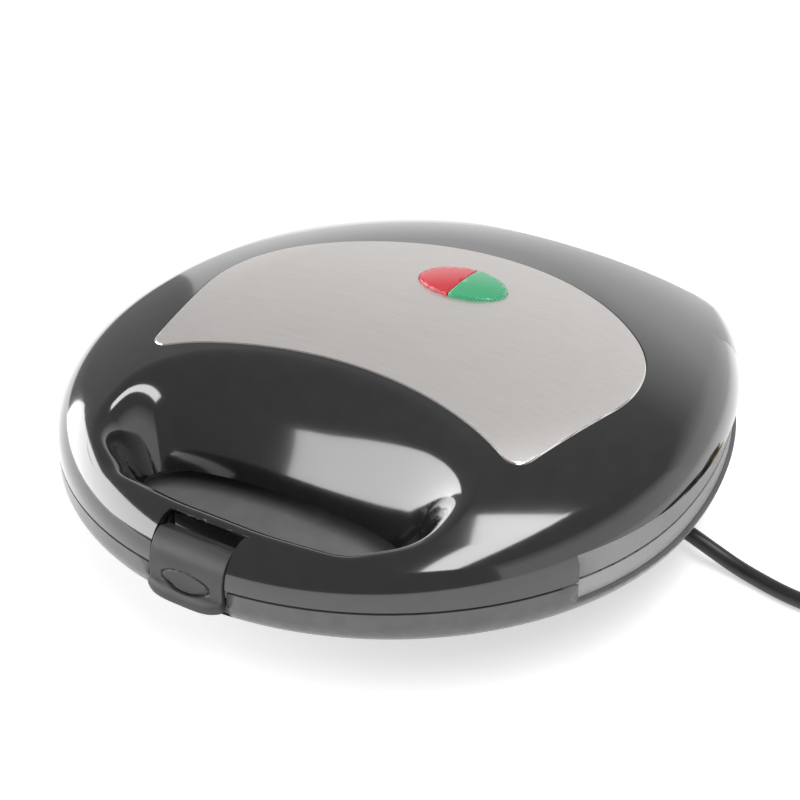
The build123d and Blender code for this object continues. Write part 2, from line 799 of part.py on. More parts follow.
# Latch clip: follows the lid's brow, with a pivot boss behind it, a barb and a flared finger lip
brow_middle = front_y + brow_radius
latch_low = parting_height - latch_drop
recess_y = front_y + recess_depth
recess_low = latch_low - latch_thickness
barb_tip = recess_y - keeper_reach - barb_clearance
keeper_low = base_top - fit_gap - keeper_height
plate_inner = front_y + latch_thickness - latch_set_back
latch_top_turn = radians(latch_top_angle)
latch_bow_turn = radians(latch_bow_angle)
with BuildPart() as latch_clip:
    with BuildSketch(Plane.YZ.offset(-notch_half_width + latch_gap)):
        with BuildLine():
            outer_top = (
                brow_middle - brow_radius * sin(latch_top_turn),
                parting_height + brow_radius * cos(latch_top_turn),
            )
            outer_bow = (
                brow_middle - brow_radius * cos(latch_bow_turn),
                parting_height + brow_radius * sin(latch_bow_turn),
            )
            outer_low = (front_y, parting_height)
            bend = (front_y - lip_bend_out, latch_low + lip_bend_rise)
            lip = (front_y - latch_reach, latch_low)
            ThreePointArc(outer_top, outer_bow, outer_low)
            Line(outer_low, bend)
            SagittaArc(bend, lip, -lip_bow)
            Polyline(
                lip,
                (lip[0] + lip_thickness, latch_low),
                (plate_inner - barb_root_inset, keeper_low - barb_root_drop),
                (barb_tip, keeper_low - barb_nose_drop),
                (barb_tip, keeper_low - barb_play),
                (plate_inner, keeper_low - barb_play),
                (plate_inner, parting_height - neck_half_height),
                (plate_inner + neck_offset, parting_height + neck_half_height),
                (latch_y - latch_boss_shoulder, latch_z - latch_boss_radius),
                (latch_y, latch_z - latch_boss_radius),
            )
            ThreePointArc(
                (latch_y, latch_z - latch_boss_radius),
                (latch_y + latch_boss_radius, latch_z),
                (latch_y, latch_z + latch_boss_radius),
            )
            Line((latch_y, latch_z + latch_boss_radius), outer_top)
        make_face()
    extrude(amount=2 * (notch_half_width - latch_gap))
    along_x(
        latch_pin_diameter / 2 + pin_clearance,
        -notch_half_width,
        notch_half_width,
        latch_y,
        latch_z,
        Mode.SUBTRACT,
    )
    oval_middle = (0, front_y - latch_reach, parting_height - oval_drop)
    with BuildSketch(Plane(origin=oval_middle, x_dir=(1, 0, 0), z_dir=(0, 1, 0))):
        Ellipse(oval_half_length, oval_half_height)
        Ellipse(oval_half_length - oval_line, oval_half_height - oval_line, mode=Mode.SUBTRACT)
    extrude(amount=latch_reach + oval_engraving, mode=Mode.SUBTRACT)
write(latch_clip, "latch_clip")

# Inside space of the base, with posts left for the screws
with BuildPart() as base_core:
    base_form(wall, side_wall, base_top + 1)
    add(barrel_space(wall), mode=Mode.SUBTRACT)
    with Locations(*screw_spots):
        Cylinder(
            boss_diameter / 2,
            deck_low,
            align=(Align.CENTER, Align.CENTER, Align.MIN),
            mode=Mode.SUBTRACT,
        )

outlet = Vector(cos(radians(outlet_angle)), sin(radians(outlet_angle)), 0)
outlet_middle = Vector(0, pedestal_y, outlet_height)
pan_floor = foot_height + wall
base_loom_bend = (0, hinge_y - loom_bend_back, hinge_z - loom_bend_drop)
with BuildPart() as base_pan:
    base_form(0, 0, base_top)
    add(base_core.part, mode=Mode.SUBTRACT)
    with Locations((0, recess_y, base_top)):
        Box(
            2 * (notch_half_width + wall),
            wall,
            base_top - recess_low + wall / 4,
            align=(Align.CENTER, Align.MIN, Align.MAX),
        )
    add(latch_space(notch_half_width + latch_gap, recess_depth, recess_low), mode=Mode.SUBTRACT)
    with Locations((0, recess_y, base_top - fit_gap)):
        Box(
            2 * keeper_half_width,
            keeper_reach,
            keeper_height,
            align=(Align.CENTER, Align.MAX, Align.MAX),
        )
    add(band_space(base_top - base_band_height, base_band_height), mode=Mode.SUBTRACT)
    add(barrel_space(0), mode=Mode.SUBTRACT)
    for side in (-1, 1):
        for span in (inner_knuckle, outer_knuckle):
            start, end = sorted((side * span[0], side * span[1]))
            along_x(knuckle_radius, start, end, hinge_y, hinge_z)
            with Locations(((start + end) / 2, hinge_y, hinge_z)):
                Box(
                    end - start,
                    1.2 * knuckle_radius,
                    knuckle_radius + knuckle_gap + wall / 2,
                    align=(Align.CENTER, Align.CENTER, Align.MAX),
                )
            along_x(pin_diameter / 2, start, end, hinge_y, hinge_z, Mode.SUBTRACT)
    with Locations((0, pedestal_y, foot_height)):
        with PolarLocations(foot_circle, 4, start_angle=45):
            Cylinder(
                foot_radius,
                foot_seat,
                align=(Align.CENTER, Align.CENTER, Align.MIN),
                mode=Mode.SUBTRACT,
            )
    rod(
        boot_neck_diameter / 2,
        outlet_middle + outlet * (pedestal_radius - 2 * wall),
        outlet_middle + outlet * pedestal_radius,
        4 * wall,
        Mode.SUBTRACT,
    )
    rod(
        loom_diameter / 2 + loom_gap,
        (0, hinge_y, hinge_z),
        base_loom_bend,
        hood_radius + 2 * wall,
        Mode.SUBTRACT,
    )
    with Locations(*[(x, y, deck_low) for x, y in screw_spots]):
        Cylinder(
            screw_diameter / 2,
            screw_length - wall,
            align=(Align.CENTER, Align.CENTER, Align.MAX),
            mode=Mode.SUBTRACT,
        )
write(base_pan, "base_pan")


# Finger tray sunk in the deck under the well, grown by a given amount
def tray_sections(grow):
    low = oval(
        well_half_width + grow,
        well_front + tray_draft - grow,
        well_rear + wall + grow,
        tray_end_radius + grow,
        base_top - tray_depth - grow,
    )
    spread = wall + tray_clearance + grow
    lean = well_flare_rear * (base_top - well_low) / (lid_top + 1 - well_low)
    high = oval(
        well_half_width + spread,
        well_front - spread,
        well_rear + lean + spread,
        well_end_radius + spread,
        base_top,
    )
    return [low.face(), high.face()]


with BuildPart() as base_deck:
    extrude(plan_outline(side_wall + fit_gap, deck_low), amount=wall)
    loft(tray_sections(tray_wall))
    loft(tray_sections(0), mode=Mode.SUBTRACT)
    extrude(plate_outline(plate_opening_gap, deck_low), amount=wall, mode=Mode.SUBTRACT)
    add(barrel_space(wall + fit_gap), mode=Mode.SUBTRACT)
    keeper_wall = wall + fit_gap
    add(latch_space(notch_half_width + keeper_wall, recess_depth + keeper_wall, 0), mode=Mode.SUBTRACT)
    with Locations(*[(x, y, base_top) for x, y in screw_spots]):
        CounterBoreHole(screw_diameter / 2, screw_head_diameter / 2, screw_head_height, depth=wall)
write(base_deck, "base_deck")

with BuildPart() as rubber_feet:
    with Locations((0, pedestal_y, 0)):
        with PolarLocations(foot_circle, 4, start_angle=45):
            Cylinder(
                foot_radius,
                foot_height + foot_seat,
                align=(Align.CENTER, Align.CENTER, Align.MIN),
            )
    fillet(rubber_feet.edges().group_by(Axis.Z)[0], foot_seat)
write(rubber_feet, "rubber_feet")

with BuildPart() as hinge_pins:
    for side in (-1, 1):
        start, end = sorted((side * inner_knuckle[0], side * outer_knuckle[1]))
        along_x(pin_diameter / 2, start, end, hinge_y, hinge_z)
write(hinge_pins, "hinge_pins")

# Terminal block on the pan's floor, turned to face the cord, with three screw wells
with BuildPart() as terminal_block:
    with Locations(Location((0, pedestal_y, pan_floor), (0, 0, outlet_angle))):
        Box(block_length, block_width, block_height, align=(Align.CENTER, Align.CENTER, Align.MIN))
    with Locations(Location((0, pedestal_y, pan_floor + block_height), (0, 0, outlet_angle))):
        with GridLocations(block_length / 3, 0, 3, 1):
            CounterBoreHole(
                screw_diameter / 2,
                screw_head_diameter / 2,
                screw_head_height,
                depth=block_height / 2,
            )
write(terminal_block, "terminal_block")


# Round cord or wire along straight runs joined by tangent arcs
def tube(points, diameter):
    runs = [Vector(*b) - Vector(*a) for a, b in zip(points, points[1:])]
    radii = [
        bend_share * min(a.length, b.length) / tan(radians(a.get_angle(b) / 2))
        for a, b in zip(runs, runs[1:])
    ]
    print("Bend radii:", [round(radius, 1) for radius in radii])
    with BuildPart() as space:
        with BuildLine() as path:
            FilletPolyline(*points, radius=radii)
        with BuildSketch(Plane(origin=path.wire() @ 0, z_dir=path.wire() % 0)):
            Circle(diameter / 2)
        sweep(path=path.wire())
    return space.part


# Looms meet end to end on the hinge axis, so opening the lid only twists them
loom_meet = lid_loom_x / 2
block_back = Vector(0, 0, 1).cross(outlet)
base_loom_start = Vector(0, pedestal_y, pan_floor + block_height - loom_diameter / 2)
base_loom_start += block_back * (block_width / 2)
with BuildPart() as base_wiring:
    add(
        tube(
            [
                tuple(base_loom_start),
                tuple(base_loom_start + block_back * loom_run),
                base_loom_bend,
                (0, hinge_y, hinge_z),
                (loom_meet - fit_gap, hinge_y, hinge_z),
            ],
            loom_diameter,
        )
    )
write(base_wiring, "base_wiring")

lug_y = lens_y + lens_half_width + lug_size
lug_z = holder_low + lug_size / 2
with BuildPart() as lid_wiring:
    add(
        tube(
            [
                (loom_meet + fit_gap, hinge_y, hinge_z),
                loom_turn,
                loom_rise,
                (lug_x, lug_y + loom_run, lug_z),
                (lug_x, lug_y, lug_z),
            ],
            loom_diameter,
        )
    )
write(lid_wiring, "lid_wiring")

# Cord boot through the pedestal's wall
boot_in = pedestal_radius - wall - 3 * fit_gap
boot_out = pedestal_radius + boot_length
with BuildPart() as cord_boot:
    with BuildSketch(Plane(origin=outlet_middle, x_dir=outlet, z_dir=outlet.cross(Vector(0, 0, 1)))):
        with BuildLine():
            Polyline(
                (boot_in, 0),
                (boot_in, boot_neck_diameter / 2),
                (pedestal_radius, boot_neck_diameter / 2),
                (pedestal_radius, boot_diameter / 2),
                (boot_out, boot_tip_diameter / 2),
                (boot_out, 0),
                close=True,
            )
        make_face()
    revolve(axis=Axis(outlet_middle, outlet))
write(cord_boot, "cord_boot")

clamp_middle = outlet_middle + outlet * (boot_in - clamp_length)
with BuildPart() as inner_lead:
    rod(
        cord_diameter / 2,
        outlet_middle + outlet * (block_length / 2),
        outlet_middle + outlet * boot_in,
        boot_in - block_length / 2,
    )
write(inner_lead, "inner_lead")

with BuildPart() as cord_clamp:
    with Locations(Location((clamp_middle.X, clamp_middle.Y, pan_floor), (0, 0, outlet_angle))):
        Box(clamp_length, clamp_width, clamp_height, align=(Align.CENTER, Align.CENTER, Align.MIN))
    rod(
        cord_diameter / 2 + element_gap,
        clamp_middle - outlet * clamp_length,
        clamp_middle,
        2 * clamp_length,
        Mode.SUBTRACT,
    )
write(cord_clamp, "cord_clamp")

cord_start = outlet_middle + outlet * boot_out
cord_bend = cord_start + outlet * cord_first_run
coil_low = cord_diameter / 2 + tie_gap + tie_thickness
coil_step = cord_diameter + coil_gap
coil_start = Vector(186, 27.5, coil_low)
ahead = Vector(cos(radians(coil_heading)), sin(radians(coil_heading)), 0)
leftward = Vector(-sin(radians(coil_heading)), cos(radians(coil_heading)), 0)
with BuildPart() as cord_run:
    add(
        tube(
            [
                tuple(cord_start),
                tuple(cord_bend),
                (110.5, 32.1, 6.0),
                (123.0, 30.2, 2.9),
                (146.0, 24.3, 3.0),
                tuple(coil_start - ahead * coil_lead),
                tuple(coil_start),
            ],
            cord_diameter,
        )
    )
write(cord_run, "cord_run")

# Bundle: flat half turns inward, one tilted half turn up to a second layer, and outward again
turns = [
    (coil_radius, 0),
    (coil_radius - coil_step / 2, 0),
    (coil_radius - coil_step, 0),
    (coil_radius - 3 * coil_step / 2, coil_step),
    (coil_radius - coil_step, 0),
    (coil_radius - coil_step / 2, 0),
    (coil_radius + coil_step / 2, 0),
]
with BuildPart() as cord_coil:
    with BuildLine() as coil_path:
        here = coil_start + ahead * cord_diameter
        Line(coil_start, here)
        heading = ahead
        across = leftward
        for radius, rise in turns:
            there = here + across * (2 * radius) + Vector(0, 0, rise)
            middle = (here + there) / 2 + heading * ((there - here).length / 2)
            ThreePointArc(here, middle, there)
            here = there
            heading = -heading
            across = -across
        Line(here, here + heading * cord_diameter)
    with BuildSketch(Plane(origin=coil_start, z_dir=ahead)):
        Circle(cord_diameter / 2)
    sweep(path=coil_path.wire())
write(cord_coil, "cord_coil")

# Least gap of the coil to itself, on points along its middle line
coil_wire = coil_path.wire()
samples = round(coil_wire.length / coil_sample)
spots = [tuple(coil_wire @ (step / samples)) for step in range(samples + 1)]
apart = round(coil_apart / coil_sample)
closest = min(dist(a, b) for step, a in enumerate(spots) for b in spots[step + apart :])
print(f"Least gap of the coil to itself: {closest - cord_diameter:.2f} mm")

# Wire tie round the three passes on the far side of the bundle
tie_middle = coil_start + ahead * cord_diameter + leftward * (coil_radius + coil_step / 2)
tie_middle -= ahead * (coil_radius - coil_step)
tie_inner = 2 * cord_diameter + coil_gap + 2 * tie_gap
with BuildPart() as cord_tie:
    with Locations(Location((tie_middle.X, tie_middle.Y, 0), (0, 0, coil_heading))):
        Box(
            tie_inner + 2 * tie_thickness,
            tie_width,
            tie_inner + 2 * tie_thickness,
            align=(Align.CENTER, Align.CENTER, Align.MIN),
        )
        with Locations((0, 0, tie_thickness)):
            Box(
                tie_inner,
                2 * tie_width,
                tie_inner,
                align=(Align.CENTER, Align.CENTER, Align.MIN),
                mode=Mode.SUBTRACT,
            )
write(cord_tie, "cord_tie")

plug_start = here + heading * cord_diameter
plug_plane = Plane(origin=plug_start, x_dir=across, z_dir=heading)
plug_face = plug_plane.offset(plug_cone + plug_length)
with BuildPart() as plug_body:
    with BuildSketch(plug_plane):
        Circle(boot_tip_diameter / 2)
    with BuildSketch(plug_plane.offset(plug_cone)):
        RectangleRounded(plug_width, 2 * plug_start.Z, plug_round)
    loft()
    with BuildSketch(plug_plane.offset(plug_cone)):
        RectangleRounded(plug_width, 2 * plug_start.Z, plug_round)
    extrude(amount=plug_length)
write(plug_body, "plug_body")

with BuildPart() as plug_blades:
    with BuildSketch(plug_face):
        with GridLocations(blade_pitch, 0, 2, 1):
            Rectangle(blade_thickness, blade_width)
    extrude(amount=blade_length)
write(plug_blades, "plug_blades")
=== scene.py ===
import bmesh
import bpy
from math import copysign, cos, pi, radians, sin
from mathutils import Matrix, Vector
from mathutils.bvhtree import BVHTree


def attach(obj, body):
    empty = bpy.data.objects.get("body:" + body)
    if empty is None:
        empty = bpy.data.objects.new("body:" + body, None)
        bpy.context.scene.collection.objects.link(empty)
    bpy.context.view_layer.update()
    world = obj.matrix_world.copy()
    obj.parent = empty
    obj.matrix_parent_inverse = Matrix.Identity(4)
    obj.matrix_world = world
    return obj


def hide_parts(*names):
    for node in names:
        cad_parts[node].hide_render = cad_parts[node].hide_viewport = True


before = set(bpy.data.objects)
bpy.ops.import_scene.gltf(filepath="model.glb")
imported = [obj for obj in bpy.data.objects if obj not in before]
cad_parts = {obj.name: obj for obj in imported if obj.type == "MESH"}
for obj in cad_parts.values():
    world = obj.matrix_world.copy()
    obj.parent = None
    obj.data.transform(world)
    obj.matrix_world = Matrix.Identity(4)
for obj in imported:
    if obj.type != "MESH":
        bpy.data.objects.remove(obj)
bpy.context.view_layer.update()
scene = bpy.context.scene
scene.view_settings.view_transform = "Standard"
mm = 0.001  # the object's sizes are in millimetres, as in the CAD; finishes and the studio in metres

# camera at the photograph's angle
cameraLook = {
    "azimuth": 32.92,
    "elevation": 30.57,
    "focalPixels": 1900.0,
    "imagePixels": 800.0,
    "place": (310.92, -474.65, 381.27),
    "sensor": 36.0,
    "nearClip": 0.01,
}


def addCamera(look):
    turn, rise = radians(look["azimuth"]), radians(look["elevation"])
    back = Vector((sin(turn) * cos(rise), -cos(turn) * cos(rise), sin(rise)))
    data = bpy.data.cameras.new("photoCamera")
    data.sensor_fit = "HORIZONTAL"
    data.sensor_width = look["sensor"]
    data.lens = look["focalPixels"] / look["imagePixels"] * look["sensor"]
    data.clip_start = look["nearClip"]
    camera = bpy.data.objects.new("photoCamera", data)
    camera.location = Vector(look["place"]) * mm
    camera.rotation_euler = (-back).to_track_quat("-Z", "Y").to_euler()
    scene.collection.objects.link(camera)
    scene.camera = camera


addCamera(cameraLook)
print("camera placed")


# shared shader groups
def newGroup(name, inputs, outputs):
    group = bpy.data.node_groups.new(name, "ShaderNodeTree")
    for socketName, value in inputs.items():
        socket = group.interface.new_socket(socketName, in_out="INPUT", socket_type="NodeSocketFloat")
        socket.default_value = value
    for socketName in outputs:
        group.interface.new_socket(socketName, in_out="OUTPUT", socket_type="NodeSocketFloat")
    return group, group.nodes.new("NodeGroupInput"), group.nodes.new("NodeGroupOutput")


def objectNoise(nodes, links, stretch, detail):
    coords = nodes.new("ShaderNodeTexCoord")
    mapping = nodes.new("ShaderNodeMapping")
    mapping.inputs["Scale"].default_value = stretch
    noise = nodes.new("ShaderNodeTexNoise")
    noise.inputs["Detail"].default_value = detail
    links.new(coords.outputs["Object"], mapping.inputs["Vector"])
    links.new(mapping.outputs["Vector"], noise.inputs["Vector"])
    return noise


def remap(nodes, links, source, low, high):
    node = nodes.new("ShaderNodeMapRange")
    links.new(source, node.inputs["Value"])
    for socketName, value in (("To Min", low), ("To Max", high)):
        if hasattr(value, "is_linked"):
            links.new(value, node.inputs[socketName])
        else:
            node.inputs[socketName].default_value = value
    return node.outputs["Result"]


def shineBetween(nodes, links, source, inside, outside):
    low, high = inside.outputs["Shine Low"], inside.outputs["Shine High"]
    links.new(remap(nodes, links, source, low, high), outside.inputs["Shine"])


# moulded plastic: fine grain for bump and a slow drift in shine
grainLook = {
    "sockets": {"Grain Scale": 900.0, "Shine Low": 0.1, "Shine High": 0.2},
    "grainDetail": 4,
    "drift": (22, 22, 22),
    "driftDetail": 2,
}


def makeMouldGrain(look):
    group, inside, outside = newGroup("mouldGrain", look["sockets"], ("Height", "Shine"))
    nodes, links = group.nodes, group.links
    grain = objectNoise(nodes, links, (1, 1, 1), look["grainDetail"])
    links.new(inside.outputs["Grain Scale"], grain.inputs["Scale"])
    drift = objectNoise(nodes, links, look["drift"], look["driftDetail"])
    links.new(grain.outputs["Fac"], outside.inputs["Height"])
    shineBetween(nodes, links, drift.outputs["Fac"], inside, outside)
    return group


# brushed metal: long scratches along X
brushLook = {
    "sockets": {"Shine Low": 0.25, "Shine High": 0.45},
    "coarse": (9, 1500, 300),
    "coarseDetail": 6,
    "fine": (30, 5200, 900),
    "fineDetail": 3,
    "fineShare": 0.45,
}


def makeBrushLines(look):
    group, inside, outside = newGroup("brushLines", look["sockets"], ("Lines", "Shine"))
    nodes, links = group.nodes, group.links
    coarse = objectNoise(nodes, links, look["coarse"], look["coarseDetail"])
    fine = objectNoise(nodes, links, look["fine"], look["fineDetail"])
    both = nodes.new("ShaderNodeMix")
    both.inputs["Factor"].default_value = look["fineShare"]
    links.new(coarse.outputs["Fac"], both.inputs["A"])
    links.new(fine.outputs["Fac"], both.inputs["B"])
    lines = both.outputs["Result"]
    links.new(lines, outside.inputs["Lines"])
    shineBetween(nodes, links, lines, inside, outside)
    return group


mouldGrain = makeMouldGrain(grainLook)
brushLines = makeBrushLines(brushLook)

# shared by all finishes
bevelSamples = 6
tintDetail = 3
tintDrift = (30, 30, 30)
plasticSpread = (0.3, 0.7)
metalSpread = (0.35, 0.65)


def newMaterial(name):
    material = bpy.data.materials.new(name)
    material.use_nodes = True
    nodes, links = material.node_tree.nodes, material.node_tree.links
    return material, nodes, links, nodes["Principled BSDF"]


def placeGroup(nodes, group, values):
    node = nodes.new("ShaderNodeGroup")
    node.node_tree = group
    for socketName, value in values.items():
        node.inputs[socketName].default_value = value
    return node


def addBump(nodes, links, shader, height, strength, distance, edge=0.0):
    bump = nodes.new("ShaderNodeBump")
    bump.inputs["Strength"].default_value = strength
    bump.inputs["Distance"].default_value = distance
    links.new(height, bump.inputs["Height"])
    if edge:
        bevel = nodes.new("ShaderNodeBevel")
        bevel.samples = bevelSamples
        bevel.inputs["Radius"].default_value = edge
        links.new(bevel.outputs["Normal"], bump.inputs["Normal"])
    links.new(bump.outputs["Normal"], shader.inputs["Normal"])


# base colour from a dark tone to a light one, as a texture runs over the given stretch
def tintBy(nodes, links, shader, source, tones, spread):
    ramp = nodes.new("ShaderNodeValToRGB")
    for stop, place, tone in zip(ramp.color_ramp.elements, spread, tones):
        stop.position = place
        stop.color = (*tone, 1)
    links.new(source, ramp.inputs["Fac"])
    links.new(ramp.outputs["Color"], shader.inputs["Base Color"])


def plasticMaterial(look):
    material, nodes, links, shader = newMaterial(look["name"])
    low, high = look["shine"]
    sockets = {"Grain Scale": look["grain"], "Shine Low": low, "Shine High": high}
    grain = placeGroup(nodes, mouldGrain, sockets)
    links.new(grain.outputs["Shine"], shader.inputs["Roughness"])
    if "coat" in look:
        shader.inputs["Coat Weight"].default_value = look["coat"]
        shader.inputs["Coat Roughness"].default_value = look["coatShine"]
    edge = look.get("edge", 0.0)
    addBump(nodes, links, shader, grain.outputs["Height"], look["bump"], look["depth"], edge)
    drift = objectNoise(nodes, links, look.get("drift", tintDrift), tintDetail)
    tintBy(nodes, links, shader, drift.outputs["Fac"], look["tones"], plasticSpread)
    return material


def metalMaterial(look):
    material, nodes, links, shader = newMaterial(look["name"])
    shader.inputs["Metallic"].default_value = 1.0
    low, high = look["shine"]
    lines = placeGroup(nodes, brushLines, {"Shine Low": low, "Shine High": high})
    links.new(lines.outputs["Shine"], shader.inputs["Roughness"])
    tintBy(nodes, links, shader, lines.outputs["Lines"], look["tones"], metalSpread)
    addBump(nodes, links, shader, lines.outputs["Lines"], look["bump"], look["depth"])
    return material


lidGloss = plasticMaterial(
    {
        "name": "lidGloss",
        "tones": ((0.009, 0.009, 0.0095), (0.013, 0.013, 0.0135)),
        "grain": 700.0,
        "shine": (0.1, 0.14),
        "bump": 0.04,
        "depth": 0.00005,
        "coat": 1.0,
        "coatShine": 0.06,
    }
)
bandMatte = plasticMaterial(
    {
        "name": "bandMatte",
        "tones": ((0.32, 0.32, 0.327), (0.4, 0.4, 0.408)),
        "grain": 1100.0,
        "shine": (0.42, 0.52),
        "bump": 0.7,
        "depth": 0.0005,
        "drift": (900, 900, 900),
    }
)
baseGloss = plasticMaterial(
    {
        "name": "baseGloss",
        "tones": ((0.095, 0.095, 0.098), (0.115, 0.115, 0.118)),
        "grain": 800.0,
        "shine": (0.2, 0.28),
        "bump": 0.06,
        "depth": 0.0001,
        "drift": (40, 40, 40),
    }
)
deckSatin = plasticMaterial(
    {
        "name": "deckSatin",
        "tones": ((0.15, 0.15, 0.154), (0.175, 0.175, 0.179)),
        "grain": 1400.0,
        "shine": (0.42, 0.5),
        "bump": 0.25,
        "depth": 0.00015,
        "edge": 0.0005,
    }
)
latchSatin = plasticMaterial(
    {
        "name": "latchSatin",
        "tones": ((0.032, 0.032, 0.033), (0.042, 0.042, 0.043)),
        "grain": 1600.0,
        "shine": (0.36, 0.44),
        "bump": 0.15,
        "depth": 0.0001,
        "edge": 0.0005,
    }
)
nonStick = plasticMaterial(
    {
        "name": "nonStick",
        "tones": ((0.03, 0.03, 0.032), (0.05, 0.05, 0.052)),
        "grain": 2200.0,
        "shine": (0.3, 0.42),
        "bump": 0.3,
        "depth": 0.0002,
        "edge": 0.0006,
    }
)
footRubber = plasticMaterial(
    {
        "name": "footRubber",
        "tones": ((0.02, 0.02, 0.02), (0.032, 0.032, 0.032)),
        "grain": 1200.0,
        "shine": (0.6, 0.75),
        "bump": 0.3,
        "depth": 0.0002,
    }
)
cordJacket = plasticMaterial(
    {
        "name": "cordJacket",
        "tones": ((0.018, 0.018, 0.019), (0.028, 0.028, 0.029)),
        "grain": 1500.0,
        "shine": (0.32, 0.42),
        "bump": 0.15,
        "depth": 0.0001,
    }
)
whitePlastic = plasticMaterial(
    {
        "name": "whitePlastic",
        "tones": ((0.62, 0.6, 0.55), (0.7, 0.68, 0.63)),
        "grain": 900.0,
        "shine": (0.35, 0.5),
        "bump": 0.15,
        "depth": 0.0001,
    }
)
loomSleeve = plasticMaterial(
    {
        "name": "loomSleeve",
        "tones": ((0.5, 0.48, 0.43), (0.66, 0.64, 0.58)),
        "grain": 2600.0,
        "shine": (0.75, 0.9),
        "bump": 0.6,
        "depth": 0.0003,
    }
)
panelSteel = metalMaterial(
    {
        "name": "panelSteel",
        "tones": ((0.74, 0.705, 0.688), (0.9, 0.865, 0.848)),
        "shine": (0.36, 0.52),
        "bump": 0.12,
        "depth": 0.00004,
    }
)
edgeSteel = metalMaterial(
    {
        "name": "edgeSteel",
        "tones": ((0.72, 0.7, 0.69), (0.8, 0.78, 0.77)),
        "shine": (0.1, 0.16),
        "bump": 0.03,
        "depth": 0.00002,
    }
)
pinSteel = metalMaterial(
    {
        "name": "pinSteel",
        "tones": ((0.5, 0.5, 0.51), (0.62, 0.62, 0.63)),
        "shine": (0.22, 0.35),
        "bump": 0.05,
        "depth": 0.00003,
    }
)
elementSheath = metalMaterial(
    {
        "name": "elementSheath",
        "tones": ((0.2, 0.18, 0.16), (0.34, 0.31, 0.28)),
        "shine": (0.4, 0.6),
        "bump": 0.1,
        "depth": 0.00005,
    }
)
bladeBrass = metalMaterial(
    {
        "name": "bladeBrass",
        "tones": ((0.6, 0.46, 0.2), (0.72, 0.57, 0.28)),
        "shine": (0.2, 0.35),
        "bump": 0.05,
        "depth": 0.00003,
    }
)

# ribbed pilot lens with a faint glow in its own colour
lensLook = {
    "ribs": 320.0,
    "shine": 0.16,
    "coat": 0.4,
    "glow": 0.1,
    "bump": 0.2,
    "depth": 0.0002,
    "edge": 0.0004,
}


def lensMaterial(name, tones, look):
    material, nodes, links, shader = newMaterial(name)
    coords = nodes.new("ShaderNodeTexCoord")
    ribs = nodes.new("ShaderNodeTexWave")
    ribs.inputs["Scale"].default_value = look["ribs"]
    links.new(coords.outputs["Object"], ribs.inputs["Vector"])
    tintBy(nodes, links, shader, ribs.outputs["Fac"], tones, (0, 1))
    shader.inputs["Roughness"].default_value = look["shine"]
    shader.inputs["Coat Weight"].default_value = look["coat"]
    shader.inputs["Emission Color"].default_value = (*tones[1], 1)
    shader.inputs["Emission Strength"].default_value = look["glow"]
    addBump(nodes, links, shader, ribs.outputs["Fac"], look["bump"], look["depth"], look["edge"])
    return material


lensRed = lensMaterial("lensRed", ((0.36, 0.012, 0.02), (0.68, 0.035, 0.05)), lensLook)
lensGreen = lensMaterial("lensGreen", ((0.03, 0.24, 0.11), (0.07, 0.46, 0.22)), lensLook)

# glass of the neon lamps under the lenses
lampLook = {
    "name": "lampGlass",
    "tone": (0.95, 0.85, 0.75),
    "bending": 1.47,
    "sockets": {"Grain Scale": 400.0, "Shine Low": 0.02, "Shine High": 0.08},
}


def glassMaterial(look):
    material, nodes, links, shader = newMaterial(look["name"])
    shader.inputs["Transmission Weight"].default_value = 1.0
    shader.inputs["IOR"].default_value = look["bending"]
    grain = placeGroup(nodes, mouldGrain, look["sockets"])
    links.new(grain.outputs["Shine"], shader.inputs["Roughness"])
    shader.inputs["Base Color"].default_value = (*look["tone"], 1)
    return material


lampGlass = glassMaterial(lampLook)
print("materials made")

# node meshes: how near points merge, and the angle from which an edge stays sharp
mergeGap = 0.000002
edgeAngle = 32.0


# take one closed mesh out of another
def cutMesh(mesh, cutter):
    whole = bpy.data.objects.new("whole", mesh)
    tool = bpy.data.objects.new("tool", cutter)
    for item in (whole, tool):
        scene.collection.objects.link(item)
    cut = whole.modifiers.new("cut", "BOOLEAN")
    cut.operation = "DIFFERENCE"
    cut.solver = "MANIFOLD"
    cut.object = tool
    ready = whole.evaluated_get(bpy.context.evaluated_depsgraph_get())
    result = bpy.data.meshes.new_from_object(ready)
    for item in (whole, tool):
        bpy.data.objects.remove(item)
    result.name = mesh.name
    return result


# a merged, smooth-shaded copy of a CAD node stands for it
def finishNode(look):
    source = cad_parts[look["node"]]
    mesh = source.data.copy()
    mesh.name = look["node"] + "Skin"
    shape = bmesh.new()
    shape.from_mesh(mesh)
    bmesh.ops.remove_doubles(shape, verts=shape.verts, dist=mergeGap)
    if "reshape" in look:
        look["reshape"](shape)
    shape.to_mesh(mesh)
    shape.free()
    if "cutter" in look:
        mesh = cutMesh(mesh, look["cutter"])
    mesh.materials.clear()
    for material in look["materials"]:
        mesh.materials.append(material)
    mesh.polygons.foreach_set("material_index", [0] * len(mesh.polygons))
    if "second" in look:
        for face in mesh.polygons:
            if look["second"](face.center / mm, face.normal):
                face.material_index = 1
    mesh.shade_smooth()
    mesh.set_sharp_from_angle(angle=radians(look.get("sharp", edgeAngle)))
    piece = bpy.data.objects.new(look["node"] + "Skin", mesh)
    scene.collection.objects.link(piece)
    if "normals" in look:
        look["normals"](mesh)
    else:
        keep = piece.modifiers.new("evenNormals", "WEIGHTED_NORMAL")
        keep.keep_sharp = True
    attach(piece, look["body"])
    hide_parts(look["node"])
    return piece


